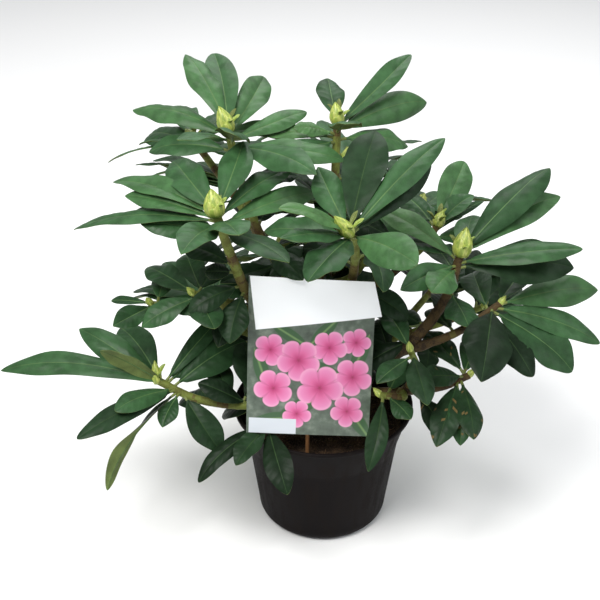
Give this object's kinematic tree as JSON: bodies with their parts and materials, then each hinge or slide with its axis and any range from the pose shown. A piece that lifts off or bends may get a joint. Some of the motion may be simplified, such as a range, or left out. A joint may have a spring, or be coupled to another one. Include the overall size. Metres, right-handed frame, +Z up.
{
  "type": "potted rhododendron",
  "caption": "Young evergreen rhododendron shrub with whorls of long leathery leaves and fat flower buds, in a round black nursery pot with a picture label on a stick.",
  "frame": {"origin": "centre of the pot's flat underside, which is what the potted plant stands on", "axes": "+Z up, -Y towards the side that the label's picture faces, +X to that viewer's right"},
  "size_m": [0.613, 0.4422, 0.4773],
  "materials": {
    "pot": "matt, dusty",
    "soil": "moist, crumbly",
    "bark": "rough",
    "leaf": "leathery, half gloss",
    "card": "glossy coated",
    "stick": "smooth"
  },
  "bodies": {
    "root": {"pot": "pot", "soil": "soil", "trunk": "bark", "label_card": "card", "label_stick": "stick", "bough_back_leader": "bark", "bough_back_left": "bark", "bough_back_low": "bark", "bough_back_low_left": "bark", "bough_back_low_right": "bark", "bough_back_right": "bark", "bough_far_right": "bark", "bough_far_right_back": "bark", "bough_front_low": "bark", "bough_inner_left": "bark", "bough_left_front": "bark", "bough_left_inner": "bark", "bough_left_small": "bark", "bough_left_top_back": "bark", "bough_low_left": "bark", "bough_low_right": "bark", "bough_middle_front": "bark", "bough_right_back": "bark", "bough_right_front": "bark", "bough_top_back": "bark", "bough_top_left": "bark", "bough_top_right": "bark", "leaves_back_leader": "leaf", "leaves_back_left": "leaf", "leaves_back_low": "leaf", "leaves_back_low_left": "leaf", "leaves_back_low_right": "leaf", "leaves_back_right": "leaf", "leaves_far_right": "leaf", "leaves_far_right_back": "leaf", "leaves_front_low": "leaf", "leaves_inner_left": "leaf", "leaves_inner_middle": "leaf", "leaves_inner_right": "leaf", "leaves_left_front": "leaf", "leaves_left_inner": "leaf", "leaves_left_small": "leaf", "leaves_left_top_back": "leaf", "leaves_low_left": "leaf", "leaves_low_right": "leaf", "leaves_middle_front": "leaf", "leaves_over_rim": "leaf", "leaves_right_back": "leaf", "leaves_right_front": "leaf", "leaves_top_back": "leaf", "leaves_top_left": "leaf", "leaves_top_right": "leaf"}
  },
  "joints": []
}
